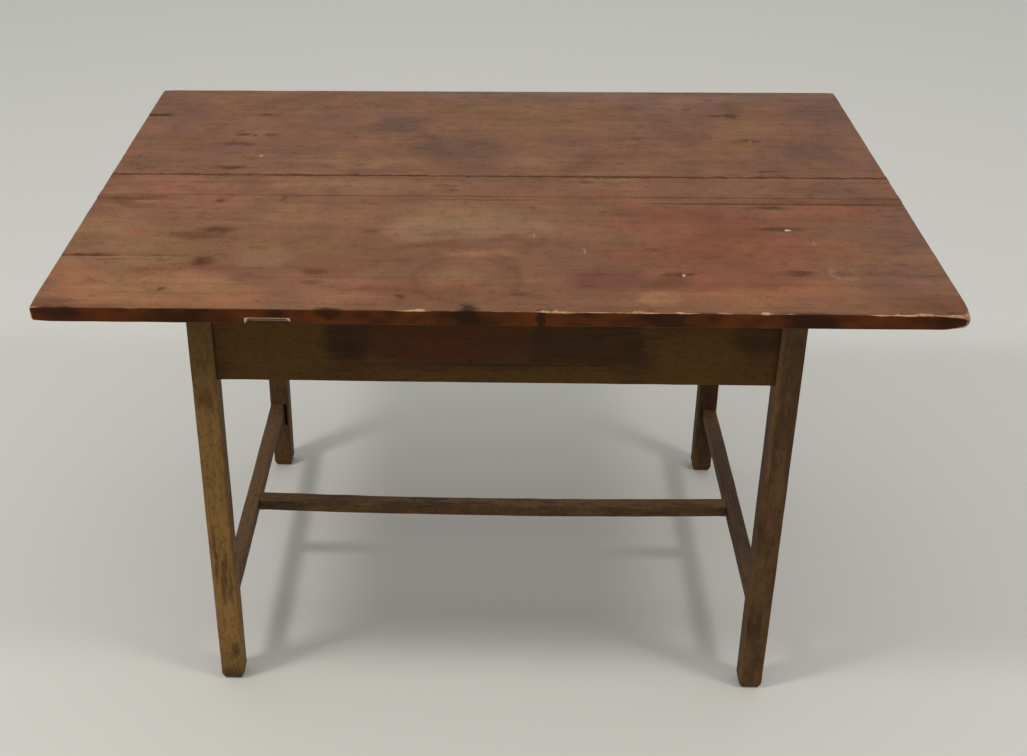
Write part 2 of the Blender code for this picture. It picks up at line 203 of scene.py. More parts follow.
def sliced_block(low, high, steps, extras=((), (), ())):
    """A block between two corners, cut into a grid along all three axes."""
    bm = bmesh.new()
    bm.verts.layers.float.new("wear")
    shape = Matrix.Translation((low + high) / 2) @ Matrix.Diagonal((*(high - low), 1))
    bmesh.ops.create_cube(bm, size=1, matrix=shape)
    for axis, direction in enumerate(AXES):
        places = slice_places(low[axis], high[axis], steps[axis], extras[axis])
        span = high[axis] - low[axis]
        along = []
        for edge in bm.edges:
            reach = (edge.verts[0].co - edge.verts[1].co).dot(direction)
            if abs(reach) > span / 2:
                along.append(edge)
        bmesh.ops.subdivide_edges(bm, edges=along, cuts=len(places) - 2)
        for vert in bm.verts:
            number = round((vert.co[axis] - low[axis]) / span * (len(places) - 1))
            vert.co[axis] = places[number]
    return bm


# %% Rubbed arrises
WEAR_DEPTH = 0.0012


def clamp(value, low=0.0, high=1.0):
    return min(max(value, low), high)


def ease(value):
    """A smooth step from 0 to 1."""
    value = clamp(value)
    return value * value * (3 - 2 * value)


def ripple(co, waves, seed=0.0):
    """Smooth noise from -1 to 1, with so many waves a metre along X, Y and Z."""
    shifted = (co[0] * waves[0] + seed, co[1] * waves[1] + 2 * seed, co[2] * waves[2] - seed)
    return noise.noise(Vector(shifted))


def rub_arrises(bm, low, high, radius_at):
    """Rounds the arrises of a block, by a radius that may change from place to place."""
    wear = bm.verts.layers.float["wear"]
    for vert in bm.verts:
        radius = radius_at(vert.co)
        core = Vector([clamp(c, l + radius, h - radius) for c, l, h in zip(vert.co, low, high)])
        out = vert.co - core
        if out.length > radius:
            rubbed = core + out.normalized() * radius
            vert[wear] = max(vert[wear], clamp((vert.co - rubbed).length / WEAR_DEPTH))
            vert.co = rubbed


def waver(bm, amount, waves, seed):
    """Moves the surface in and out a little, as a hand plane leaves it."""
    bm.normal_update()
    shifts = [vert.normal * amount * ripple(vert.co, waves, seed) for vert in bm.verts]
    for vert, shift in zip(bm.verts, shifts):
        vert.co += shift


# %% From a shape to a piece of the table
SHARP_ANGLE = radians(38)


def dress(node, bm, slot, *finishes):
    """Makes the shape a piece that stands for a solid of the frame."""
    bmesh.ops.recalc_face_normals(bm, faces=bm.faces)
    mesh = bpy.data.meshes.new(node + "_worn")
    bm.to_mesh(mesh)
    bm.free()
    for finish in finishes:
        mesh.materials.append(finish)
    mesh.shade_smooth()
    mesh.set_sharp_from_angle(angle=SHARP_ANGLE)
    piece = bpy.data.objects.new(mesh.name, mesh)
    scene.collection.objects.link(piece)
    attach(piece, "root")
    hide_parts(node)
    print(piece.name, len(mesh.polygons), "faces")


# %% [markdown]
# ## A way to write finishes
#
# Old paint is many layers: the coat itself, places where it is thin, grain that shows through, stains,
# and bare wood where it is gone. In nodes, each layer is one colour, one mask and one Mix. The class
# below keeps that readable. Its methods add nodes and hand back the socket that carries the result. All
# patterns are laid out in metres on Object coordinates, so a stain has a place and a size that can be
# measured on the real table.


# %% Recipe for a finish
ENDLESS = 100
MOTTLED_WEAR = 0.9
COARSE_RELIEF = 0.6
FINE_RELIEF = 0.4


class Recipe:
    """A finish in the making."""

    def __init__(self, name):
        self.finish = bpy.data.materials.new(name)
        self.finish.use_nodes = True
        self.nodes = self.finish.node_tree.nodes
        self.links = self.finish.node_tree.links
        self.shader = self.nodes["Principled BSDF"]
        self.place = self.nodes.new("ShaderNodeTexCoord").outputs["Object"]

    def plug(self, value, socket):
        if isinstance(value, bpy.types.NodeSocket):
            self.links.new(value, socket)
        else:
            socket.default_value = value

    def node(self, kind, inputs, **settings):
        made = self.nodes.new(kind)
        for name, value in settings.items():
            setattr(made, name, value)
        for key, value in inputs.items():
            self.plug(value, made.inputs[key])
        return made

    def cloud(self, waves, detail, roughness, output="Fac"):
        """Noise around 0.5, with so many waves a metre along X, Y and Z."""
        spread = self.node("ShaderNodeMapping", {"Vector": self.place, "Scale": waves})
        inputs = {"Vector": spread.outputs[0], "Scale": 1.0, "Detail": detail, "Roughness": roughness}
        return self.node("ShaderNodeTexNoise", inputs).outputs[output]

    def vector_maths(self, operation, inputs, output=0):
        return self.node("ShaderNodeVectorMath", inputs, operation=operation).outputs[output]

    def stray(self, distance, waves):
        """The place of each point, led astray by up to a distance, so that edges of patches wander."""
        push = self.cloud(waves, detail=3, roughness=0.5, output="Color")
        centred = self.vector_maths("SUBTRACT", {0: push, 1: (0.5, 0.5, 0.5)})
        scaled = self.vector_maths("SCALE", {0: centred, "Scale": 2 * distance})
        return self.vector_maths("ADD", {0: self.place, 1: scaled})

    def ramp(self, value, low, high, least=0.0, most=1.0):
        """A smooth step between two levels of a value."""
        inputs = {"Value": value, "From Min": low, "From Max": high, "To Min": least, "To Max": most}
        return self.node("ShaderNodeMapRange", inputs, interpolation_type="SMOOTHSTEP").outputs["Result"]

    def maths(self, operation, first, second):
        return self.node("ShaderNodeMath", {0: first, 1: second}, operation=operation).outputs[0]

    def strongest(self, masks):
        """The brightest of some masks, or 0 where there are none."""
        result = 0.0
        for mask in masks:
            result = self.maths("MAXIMUM", mask, result)
        return result

    def local(self, place, centre, size):
        """A place as seen from a centre, counted in half-widths along X, Y and Z."""
        inputs = {"Vector": place, "Location": centre, "Scale": size}
        return self.node("ShaderNodeMapping", inputs, vector_type="TEXTURE").outputs[0]

    def distance(self, place, centre, size):
        """How far from a centre each point is, counted in half-widths."""
        return self.vector_maths("LENGTH", {0: self.local(place, centre, size)}, "Value")

    def spot(self, place, centre, size, strength, soft=0.7):
        """An oval patch that fades over the outer part of its half-widths."""
        return self.ramp(self.distance(place, centre, size), 1.0, 1.0 - soft, 0.0, strength)

    def panel(self, place, centre, size, strength, soft):
        """A patch with straight sides, given as an oval is."""
        away = self.vector_maths("ABSOLUTE", {0: self.local(place, centre, size)})
        sides = self.node("ShaderNodeSeparateXYZ", {0: away}).outputs
        return self.ramp(self.strongest(list(sides)), 1.0, 1.0 - soft, 0.0, strength)

    def ring(self, place, centre, radius, width, strength):
        """The round mark of a pan."""
        away = self.distance(place, centre, (radius, radius, ENDLESS))
        off = self.maths("ABSOLUTE", self.maths("SUBTRACT", away, 1.0), 0.0)
        return self.ramp(off, width / radius, 0.0, 0.0, strength)

    def layer(self, under, over, where, blend="MIX"):
        """One colour laid over another where a mask is bright."""
        mix = self.node("ShaderNodeMix", {0: where, 6: under, 7: over}, data_type="RGBA", blend_type=blend)
        return mix.outputs[2]

    def attribute(self, name, output="Fac"):
        """What the shape has kept with each vertex, such as how far its arris is rubbed away."""
        return self.node("ShaderNodeAttribute", {}, attribute_name=name).outputs[output]

    def rubbed(self, mottle):
        """How far the coat is rubbed through: the wear, broken up by a mottle."""
        return self.maths("ADD", self.attribute("wear"), self.maths("MULTIPLY", mottle, MOTTLED_WEAR))

    def relief(self, coarse, fine):
        """A height made of a coarse and a fine pattern."""
        coarse_part = self.maths("MULTIPLY", coarse, COARSE_RELIEF)
        return self.maths("ADD", coarse_part, self.maths("MULTIPLY", fine, FINE_RELIEF))

    def done(self, colour, roughness, height, depth, gloss):
        """Plugs the layers into the shader. depth is how deep the relief goes, in metres."""
        self.shader.inputs["Specular IOR Level"].default_value = gloss
        bump = self.node("ShaderNodeBump", {"Height": height, "Strength": 1.0, "Distance": depth})
        self.plug(colour, self.shader.inputs["Base Color"])
        self.plug(roughness, self.shader.inputs["Roughness"])
        self.plug(bump.outputs[0], self.shader.inputs["Normal"])
        print(self.finish.name, len(self.nodes), "nodes")
        return self.finish


# %% [markdown]
# ## Bare old pine
#
# Paint was only brushed on where it shows. The undersides of the boards and the inner faces of the aprons
# are bare pine that has gone brown and dusty. Two noises make it: a slow one for the growth rings and a
# fast one for the fibres, both drawn out along the grain. A wave texture would give rings too, but far
# too regular ones.

# %% Bare pine
PINE_LIGHT = srgb(168, 126, 84)
PINE_DARK = srgb(116, 80, 50)
PINE_GRIME = srgb(76, 54, 38)


def with_grain(axis, along, across):
    """Waves a metre for a pattern that is drawn out along one axis."""
    waves = [across, across, across]
    waves[axis] = along
    return waves


def bare_pine(name, axis):
    recipe = Recipe(name)
    rings = recipe.cloud(with_grain(axis, 1.6, 42), detail=4, roughness=0.6)
    fibres = recipe.cloud(with_grain(axis, 16, 620), detail=3, roughness=0.6)
    grime = recipe.cloud((6, 6, 6), detail=5, roughness=0.6)
    colour = recipe.layer(PINE_LIGHT, PINE_DARK, recipe.ramp(rings, 0.40, 0.62))
    colour = recipe.layer(colour, PINE_GRIME, recipe.ramp(grime, 0.42, 0.70, 0.1, 0.7))
    colour = recipe.layer(colour, PINE_GRIME, recipe.ramp(fibres, 0.50, 0.72, 0.0, 0.5))
    return recipe.done(colour, recipe.ramp(rings, 0.3, 0.7, 0.62, 0.80), fibres, 0.0005, gloss=0.2)


pine_along_x = bare_pine("bare_pine_lengthwise", 0)
pine_along_y = bare_pine("bare_pine_crosswise", 1)

# %% [markdown]
# ## The top: shape
#
# Three boards lie side by side and are nailed down through their faces. The heads sit in little pits,
# because a nail set drove them under the surface. Drying has opened cracks at the left end and a long one
# beside the front seam, and a sliver has split off the lower front arris. All of these are moves of
# vertices, so each gets slices of its own first.

# %% Pits round the nail heads
PIT_DEPTH = 0.0009
PIT_FLOOR = (0.0037, 0.0027)
PIT_SLOPE = 0.0030
SKIN = 0.00002

nail_places = {}
for side in ("left", "right"):
    for number in range(1, 8):
        nail = f"nail_{side}_{number}"
        nail_low, nail_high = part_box(nail)
        nail_places[nail] = (nail_low + nail_high) / 2
print(len(nail_places), "nails")


def pit_slices(axis, nails):
    """Slices through each pit, so that it has a floor and a slope."""
    insets = [PIT_FLOOR[axis] + share * PIT_SLOPE for share in (0.0, 0.5, 1.0)]
    return [nail[axis] + side * inset for nail in nails for inset in insets for side in (-1, 1)]


def punch_pits(bm, surface, nails):
    """Sinks the face of a board round the heads of its nails."""
    for vert in bm.verts:
        if vert.co.z < surface - SKIN:
            continue
        for nail in nails:
            beyond = [max(abs(vert.co[axis] - nail[axis]) - PIT_FLOOR[axis], 0.0) for axis in (0, 1)]
            vert.co.z -= PIT_DEPTH * (1 - ease(hypot(*beyond) / PIT_SLOPE))


# %% Cracks
CRACK_FADE = 0.05
LEFT_END = cad_low.x
RUN_OUT = 0.04
PAST_RIGHT_END = cad_high.x + RUN_OUT
CRACKS = {
    "top_board_front": [
        ((LEFT_END, -0.2850), (-0.500, -0.2862), 0.0008, 0.0018),
        ((LEFT_END, -0.0775), (-0.480, -0.0790), 0.0010, 0.0022),
        ((0.200, -0.0820), (PAST_RIGHT_END, -0.0820), 0.0008, 0.0014),
    ],
    "top_board_middle": [],
    "top_board_rear": [((LEFT_END, 0.3140), (-0.565, 0.3110), 0.0012, 0.0030)],
}
print(sum(len(cracks) for cracks in CRACKS.values()), "cracks")


def crack_slices(cracks):
    """Slices along the two lips and the bottom of each crack."""
    return [start[1] + offset for start, end, half, depth in cracks for offset in (-half, 0.0, half)]


def open_cracks(bm, low, high, cracks):
    """Opens cracks in the upper face. One that reaches the left end also opens the end grain."""
    for vert in bm.verts:
        for start, end, half, depth in cracks:
            along = (vert.co.x - start[0]) / (end[0] - start[0])
            if not 0 <= along <= 1:
                continue
            line = start[1] + (end[1] - start[1]) * along
            close = 1 - abs(vert.co.y - line) / (2 * half)
            if close <= 0:
                continue
            fade = ease((end[0] - vert.co.x) / CRACK_FADE)
            if start[0] > low.x:
                fade *= ease((vert.co.x - start[0]) / CRACK_FADE)
            if vert.co.z > high.z - SKIN:
                vert.co.z -= depth * close * fade
            if vert.co.x < low.x + SKIN:
                vert.co.x += depth * close * ease((vert.co.z - low.z) / (high.z - low.z))


# %% The split off sliver
CHIPPED_BOARD = "top_board_front"
CHIP_MIDDLE = -0.302
CHIP_LENGTH = 0.062
CHIP_HEIGHT = 0.009
CHIP_DEPTH = 0.010
CHIP_END = 0.003
CHIP_RIM = 0.24
TORN = 2.0


def split_chip(bm, low):
    """Breaks a sliver off the lower front arris, and bares the wood along its torn rim."""
    wear = bm.verts.layers.float["wear"]
    for vert in bm.verts:
        up = vert.co.z - low.z
        back = vert.co.y - low.y
        inside = ease((CHIP_LENGTH / 2 - abs(vert.co.x - CHIP_MIDDLE)) / CHIP_END)
        if inside == 0 or up > CHIP_HEIGHT or back > CHIP_DEPTH or min(up, back) > SKIN:
            continue
        share = (CHIP_HEIGHT - up + back) / (CHIP_HEIGHT + CHIP_DEPTH)
        torn = Vector((vert.co.x, low.y + CHIP_DEPTH * share, low.z + CHIP_HEIGHT * (1 - share)))
        vert.co = vert.co.lerp(torn, inside)
        if share < CHIP_RIM or inside < 1:
            vert[wear] = TORN


# %% How round each arris of the top is
WIDE_SEAM_RADIUS = 0.0011
CLOSE_SEAM_RADIUS = 0.0007
EDGE_RADIUS = 0.0021
EDGE_REACH = 0.012
NIBBLE = 0.0018
CRISP_SHARE = 0.6
RUB_FADE = 0.02
RUBBED_STRETCHES = (
    (-0.140, -0.074, 0.0028),
    (0.030, 0.275, 0.0023),
    (0.052, 0.126, 0.0016),
    (0.275, 0.400, 0.0010),
    (0.480, 0.640, 0.0026),
)
WORN_CORNERS = (
    ((cad_high.x, cad_low.y), 0.0095, 0.040),
    ((cad_low.x, cad_low.y), 0.0035, 0.030),
    ((cad_high.x, cad_high.y), 0.0025, 0.025),
    ((cad_low.x, cad_high.y), 0.0025, 0.025),
)


def rubbed_at(x, start, end):
    """1 along a stretch, and less towards its ends."""
    return ease((x - start) / RUB_FADE) * ease((end - x) / RUB_FADE)


def top_radius(low, high):
    """The rounding of a board's arrises: crisp where two boards meet, and rubbed along the upper front."""
    half_height = (low.z + high.z) / 2

    def radius_at(co):
        near_front = co.y - low.y < EDGE_REACH
        near_rear = high.y - co.y < EDGE_REACH
        at_front_seam = near_front and low.y > cad_low.y + EDGE_REACH
        at_rear_seam = near_rear and high.y < cad_high.y - EDGE_REACH
        if at_front_seam or at_rear_seam:
            radius = WIDE_SEAM_RADIUS if co.y > 0 else CLOSE_SEAM_RADIUS
            return radius * (1 + 0.6 * ripple(co, (30, 0, 0), low.y))
        radius = EDGE_RADIUS * (1 + 0.4 * ripple(co, (24, 24, 0), 3.7))
        if near_front and co.z > half_height:
            radius += NIBBLE * max(ripple(co, (48, 0, 0), 12.4), 0.0)
            for start, end, extra in RUBBED_STRETCHES:
                uneven = 0.75 + 0.6 * ripple(co, (60, 0, 0), 9.1)
                radius += extra * rubbed_at(co.x, start, end) * uneven
        for corner, extra, reach in WORN_CORNERS:
            close = 1 - ease(hypot(co.x - corner[0], co.y - corner[1]) / reach)
            radius += extra * close * (1.0 if co.z < half_height else CRISP_SHARE)
        return radius

    return radius_at


# %% Paint rubbed thin beside the front arris
THIN_REACH = 0.0110
TONGUE_SHARE = 0.45
SHORTEST_TONGUE = 0.05
TONGUE_STEEPNESS = 1.3
CORNER_WEAR = 0.90


def thin_paint(bm, low, high):
    """Lets the wear of the front arris spread in tongues, and leaves some grime on the worn corner."""
    wear = bm.verts.layers.float["wear"]
    corner, extra, corner_reach = WORN_CORNERS[0]
    for vert in bm.verts:
        if hypot(vert.co.x - corner[0], vert.co.y - corner[1]) < corner_reach:
            vert[wear] = min(vert[wear], CORNER_WEAR)
        off = (vert.co.y - low.y) + 2 * (high.z - vert.co.z)
        if off > THIN_REACH:
            continue
        tongue = ripple(vert.co, (50, 0, 0), 4.3) + 0.6 * ripple(vert.co, (160, 0, 0), 8.3)
        reach = THIN_REACH * clamp(TONGUE_SHARE + tongue, SHORTEST_TONGUE)
        spread = ease(TONGUE_STEEPNESS * (1 - off / reach))
        for start, end, extra in RUBBED_STRETCHES:
            vert[wear] = max(vert[wear], spread * rubbed_at(vert.co.x, start, end))


# %% Top boards
BOARD_STEPS = (0.006, 0.009, 0.004)
FACES_DOWN = -0.9
BOARD_WAVER = 0.00022
TOP_BOARDS = ("top_board_front", "top_board_middle", "top_board_rear")


def top_board(node):
    low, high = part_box(node)
    nails = [nail for nail in nail_places.values() if low.y < nail.y < high.y]
    cracks = CRACKS[node]
    across = pit_slices(1, nails) + crack_slices(cracks) + [low.y + CHIP_DEPTH]
    along = pit_slices(0, nails) + [CHIP_MIDDLE + side * CHIP_LENGTH / 2 for side in (-1, 1)]
    bm = sliced_block(low, high, BOARD_STEPS, (along, across, [low.z + CHIP_HEIGHT]))
    punch_pits(bm, high.z, nails)
    open_cracks(bm, low, high, cracks)
    if node == CHIPPED_BOARD:
        split_chip(bm, low)
    rub_arrises(bm, low, high, top_radius(low, high))
    if node == CHIPPED_BOARD:
        thin_paint(bm, low, high)
    waver(bm, BOARD_WAVER, (9, 40, 40), low.y)
    bm.normal_update()
    for face in bm.faces:
        face.material_index = int(face.normal.z < FACES_DOWN)
    return bm


top_shapes = {node: top_board(node) for node in TOP_BOARDS}
print("top boards with", [len(shape.faces) for shape in top_shapes.values()], "faces")

# %% [markdown]
# ## The top: tones
#
# The red paint has worn to a patchwork: redder to the right of the middle, tan where dishes were washed,
# plum and olive along the back, and a dark round where something stood wet. Each tone is one colour and a
# list of ovals, measured from a place that noise has led astray, which turns the ovals into clouds with
# ragged edges. So many ovals are too much for one shader, which would run out of room. The boards are
# finely sliced, so each vertex works out its own tone once, and keeps it as the attribute `tone` for the
# shader to read.

# %% Tones of the top
PAINT = srgb(122, 83, 58)
TOP_TONES = {
    "plum": (
        srgb(113, 77, 60),
        (-545, 330, 60, 130, 0.9), (-180, 290, 40, 70, 1.0), (-280, 280, 80, 70, 0.5),
        (275, 340, 60, 90, 0.6), (360, 330, 70, 100, 0.6), (290, 200, 60, 80, 0.8),
        (140, 180, 60, 50, 0.6), (-330, 145, 110, 30, 0.8), (-440, 155, 60, 50, 0.8),
        (-570, 90, 50, 60, 0.6), (570, 350, 80, 140, 1.0), (540, 150, 80, 100, 0.9),
        (-50, 70, 100, 30, 0.5), (360, 80, 70, 30, 0.6), (590, -170, 60, 160, 0.8),
        (550, -30, 110, 70, 0.6), (187, 252, 80, 50, 0.9), (570, -333, 70, 70, 0.9),
        (458, 86, 66, 70, 0.8), (576, 100, 70, 60, 0.7),
    ),
    "olive": (
        srgb(122, 86, 54),
        (-460, 380, 70, 70, 0.7), (20, 370, 140, 80, 0.9), (160, 360, 90, 80, 0.9),
        (60, 270, 140, 70, 0.8), (-220, 400, 90, 50, 0.7), (160, 235, 130, 28, 0.8),
        (-560, 160, 60, 40, 0.3), (420, 280, 60, 40, 0.8), (400, 190, 70, 80, 1.0),
        (-420, -220, 160, 70, 0.5), (-250, -250, 140, 70, 0.6),
    ),
    "tan": (
        srgb(134, 96, 65),
        (-240, 100, 150, 34, 0.8), (90, 95, 80, 40, 0.7), (-50, -130, 160, 90, 0.6),
        (130, -120, 80, 50, 0.7), (10, -170, 100, 80, 1.0), (-280, -140, 140, 60, 0.7),
        (-570, -230, 80, 150, 0.9), (-330, -290, 80, 50, 0.9), (-46, -352, 60, 36, 0.8),
        (-200, -20, 180, 45, 0.9), (-502, -301, 140, 110, 1.0), (-125, 18, 70, 34, 0.7),
        (165, 18, 70, 36, 0.8),
    ),
    "pink": (
        srgb(137, 91, 65),
        (-530, 0, 130, 50, 1.0), (-430, -85, 110, 50, 0.7), (-520, -140, 110, 60, 0.7),
        (-250, -390, 200, 60, 0.8), (-400, -34, 90, 44, 0.9), (-545, -52, 110, 36, 0.9),
    ),
    "red": (
        srgb(124, 74, 50),
        (300, -150, 190, 90, 1.0), (340, -240, 190, 110, 1.0), (150, -110, 90, 50, 0.2),
        (240, -270, 140, 60, 0.8), (330, -350, 180, 80, 0.9), (-100, -390, 150, 40, 0.4),
        (-445, -340, 110, 40, 0.8), (503, -118, 100, 50, 0.9),
    ),
    "bright red": (
        srgb(148, 75, 53),
        (150, -50, 22, 12, 0.3), (-440, -66, 40, 10, 0.4), (-500, -30, 60, 14, 0.3),
        (200, -85, 50, 10, 0.4), (215, -258, 24, 8, 0.4), (-52, -375, 30, 18, 0.3),
        (-530, -205, 16, 20, 0.4),
    ),
    "orange": (
        srgb(146, 97, 63),
        (-540, -405, 100, 55, 1.0), (-410, -415, 130, 56, 0.9), (330, -405, 150, 45, 0.6),
        (495, -255, 70, 70, 0.5), (450, -385, 80, 40, 0.6), (-200, -435, 80, 20, 0.2),
        (-590, -340, 50, 60, 0.7),
    ),
    "pale": (
        srgb(145, 102, 69),
        (218, -420, 40, 32, 1.0), (-200, 75, 40, 22, 0.6), (-330, -10, 30, 20, 0.5),
        (-465, -381, 160, 56, 0.9), (-8, -272, 70, 16, 0.7),
    ),
    "slate": (
        srgb(105, 74, 53),
        (-60, 150, 110, 80, 1.2), (510, 160, 60, 60, 0.8), (-188, 372, 60, 50, 0.6),
        (-240, 425, 70, 50, 0.4), (-590, 415, 60, 60, 0.5), (465, 420, 70, 60, 0.8),
    ),
    "dark slate": (
        srgb(96, 67, 51),
        (-115, 205, 40, 26, 0.9), (-170, 260, 70, 80, 0.55), (585, 360, 60, 110, 0.5),
        (520, 165, 40, 40, 0.4),
    ),
    "ash": (
        srgb(135, 101, 74),
        (10, -170, 130, 70, 0.7), (-80, -182, 110, 60, 1.0), (-330, -290, 90, 50, 0.4),
        (-240, 95, 110, 24, 0.4),
    ),
    # Painted reflection: the cool grey band along the back of the top stands for the sheen that the paint
    # reflects there.
    "painted sheen": (srgb(121, 90, 74), (200, 440, 560, 90, 0.6)),
    "purple": (srgb(114, 67, 51), (155, -352, 64, 56, 0.9)),
    "brown": (
        srgb(104, 65, 40),
        (225, -368, 50, 30, 0.9), (-410, -305, 70, 45, 0.4), (-230, -310, 100, 50, 0.5),
        (-100, -395, 80, 30, 0.4), (30, -225, 90, 16, 0.4), (-90, -238, 80, 20, 0.7),
        (46, -380, 60, 30, 0.6), (440, 30, 50, 12, 0.5), (590, -75, 70, 22, 0.8),
        (470, -71, 150, 17, 0.6), (-560, -86, 80, 14, 0.6), (570, -425, 110, 50, 0.6),
        (-590, -445, 50, 14, 0.7),
    ),
}
print(sum(len(ovals) for tone, *ovals in TOP_TONES.values()), "ovals in", len(TOP_TONES), "tones")


# %% The tone of one place
def in_metres(x, y, wide, deep, hold):
    """A mark written in millimetres: where its middle is, its half-widths and how strongly it holds."""
    return (x / 1000, y / 1000), (wide / 1000, deep / 1000), hold


TONES_IN_METRES = [
    (Vector(tone), [in_metres(*oval) for oval in ovals]) for tone, *ovals in TOP_TONES.values()
]
BLUSH = Vector((1.03, 0.98, 1.04, 1.0))
MOSS = Vector((0.98, 1.01, 0.94, 1.0))
WIDE_DRIFT = 0.024
CLOSE_DRIFT = 0.011
OVAL_STEEPNESS = 1.5
PATCH_CONTRAST = 0.21
BAND_CONTRAST = 0.11
BAND_WAVES = (5, 38, 0)
DRIFT_SEED = 1

# Without a seed, noise_vector starts from the clock, and each run would look a little different.
noise.seed_set(DRIFT_SEED)


def patchy(co, waves, seed):
    """Noise of two sizes, for patches that have smaller patches in them."""
    coarse = ripple(co, (waves, 1.25 * waves, 0), seed)
    fine = ripple(co, (2.7 * waves, 3.4 * waves, 0), seed + 7)
    return coarse + 0.6 * fine


def tone_at(co):
    """The colour of the worn paint at one place on the top."""
    drift = noise.noise_vector(Vector((co.x * 8, co.y * 12, 0.0))) * WIDE_DRIFT
    drift += noise.noise_vector(Vector((co.x * 30, co.y * 44, 5.0))) * CLOSE_DRIFT
    colour = Vector(PAINT)
    for tone, ovals in TONES_IN_METRES:
        hold = 0.0
        for (x, y), (wide, deep), strength in ovals:
            away = hypot((co.x + drift.x - x) / wide, (co.y + drift.y - y) / deep)
            if away < 1:
                hold = max(hold, strength * ease(OVAL_STEEPNESS * (1 - away)))
        if hold > 0:
            colour = colour.lerp(tone, min(hold, 1.0))
    hue = patchy(co, 15, 31.0)
    cast = Vector((1, 1, 1, 1)).lerp(BLUSH if hue > 0 else MOSS, clamp(2 * abs(hue)))
    light = 1 + PATCH_CONTRAST * patchy(co, 11, 3.0) + BAND_CONTRAST * ripple(co, BAND_WAVES, 51.0)
    return light * colour * cast


# %% Tones kept with the vertices
EDGE_DARK = Vector(srgb(50, 26, 12))
EDGE_GLOW = Vector(srgb(90, 44, 15))
EDGE_STEEPNESS = 1.6
FACES_END = 0.5
CLOSE_SEAM = (-0.066, -0.050)
CLOSE_SEAM_SHADE = 0.3


def edge_tone_at(co):
    """The colour on the edges of the boards: less sun left them redder, and hands have darkened them."""
    glow = 0.5 + 1.1 * ripple(co, (11, 11, 0), 2.0) + 0.7 * ripple(co, (45, 45, 90), 6.0)
    return EDGE_DARK.lerp(EDGE_GLOW, clamp(glow))


def tint(bm):
    """Keeps the tone of the paint with each vertex."""
    layer = bm.verts.layers.float_color.new("tone")
    bm.normal_update()
    for vert in bm.verts:
        if vert.normal.z < FACES_DOWN:
            continue
        upright = ease(EDGE_STEEPNESS * (1 - abs(vert.normal.z)))
        if CLOSE_SEAM[0] < vert.co.y < CLOSE_SEAM[1] and abs(vert.normal.x) < FACES_END:
            upright *= CLOSE_SEAM_SHADE
        vert[layer] = tone_at(vert.co).lerp(edge_tone_at(vert.co), upright)


for shape in top_shapes.values():
    tint(shape)
print(sum(len(shape.verts) for shape in top_shapes.values()), "vertices toned")

# %% [markdown]
# ## The top: paint
#
# Over the tones lie the marks that are too sharp for the slices: the streaks of the grain, the rust that
# nails have bled along it, knots, scratches and the ring of a pan. They are nodes, sharp at any distance.
# Each board has its own copy of the finish with just its own marks. At the arrises the coat is rubbed
# through, where `wear` and a mottle say so.

# %% Stains of the top
GRIME = srgb(66, 40, 23)
STAIN = srgb(86, 49, 26)
STAINS_IN_MILLIMETRES = (
    (-405, 318, 44, 14, 0.7), (-409, 318.5, 14, 12, 0.8), (-432, 214, 22, 10, 1.0),
    (-385, 213, 20, 10, 0.8), (-440, 169, 44, 8, 0.8), (-417, 165.5, 18, 9, 0.7),
    (-432, 58, 42, 12, 0.95), (-500, 29.5, 30, 7, 0.8), (415, 321.5, 24, 19, 1.0),
    (385, 320.5, 26, 10, 0.8), (340, 355.5, 12, 12, 0.6), (240, 203, 20, 12, 0.6),
    (430, 194.5, 36, 14, 0.7), (440, 54.5, 26, 7, 1.0), (430, 30, 30, 8, 0.6),
    (417, -96.5, 30, 10, 1.0), (415, -176, 56, 11, 0.85), (418, -327.5, 34, 14, 0.85),
    (248, -335.5, 30, 11, 0.95), (268, -334.5, 12, 9, 0.95), (-424, -81, 16, 9, 0.7),
    (-410, -192.5, 40, 21, 0.9), (-440, -215, 66, 20, 0.5), (-413, -302.5, 24, 27, 1.0),
    (-250, -335, 28, 15, 0.65), (-250, -370, 24, 11, 0.5), (-455, -395, 9, 8, 1.0),
    (-128, -411, 11, 12, 1.0), (-182, -196, 22, 14, 0.6), (30, -400, 24, 11, 0.8),
    (222, -252.5, 34, 6, 0.6), (-80, -15.5, 28, 9, 0.7), (-68, -32.5, 9, 9, 0.8),
    (-327, -70, 9, 20, 0.65), (145, 2.5, 20, 9, 0.6), (-600, 312.5, 40, 11, 1.0),
    (-585, -285.5, 60, 6, 0.9), (-470, -286.5, 70, 5, 0.7), (420, -82, 240, 7, 0.6),
    (560, -81, 80, 12, 0.7), (-10, -72, 150, 4, 0.7), (-560, -70, 80, 14, 0.75),
)
STAINS = [in_metres(*mark) for mark in STAINS_IN_MILLIMETRES]
STAIN_SOFTNESS = 0.8
SEAM_GRIME = 0.0048
REAR_SEAM_HOLD = 1.0
FRONT_SEAM_HOLD = 0.15
MARK_SOFTNESS = 0.6
PALE_MARK = srgb(200, 176, 144)
PALE_MARKS_IN_MILLIMETRES = (
    (428, -178.5, 9, 4, 1.0), (427.5, 192.5, 5, 7, 0.6), (-390, 112.5, 2.5, 4.5, 0.8),
    (260, -337.5, 3, 5, 0.9), (127, -257.5, 2, 15, 0.35), (56.5, -206, 1.8, 14, 0.22),
    (457, -225.5, 3, 10, 0.25),
)
PALE_MARKS = [in_metres(*mark) for mark in PALE_MARKS_IN_MILLIMETRES]
DARK_RINGS = (((-0.040, -0.356), 0.073, 0.010, 0.30),)
PALE_RINGS = (((0.480, -0.3275), 0.018, 0.009, 0.14),)
print(len(STAINS), "stains and", len(PALE_MARKS), "pale marks")


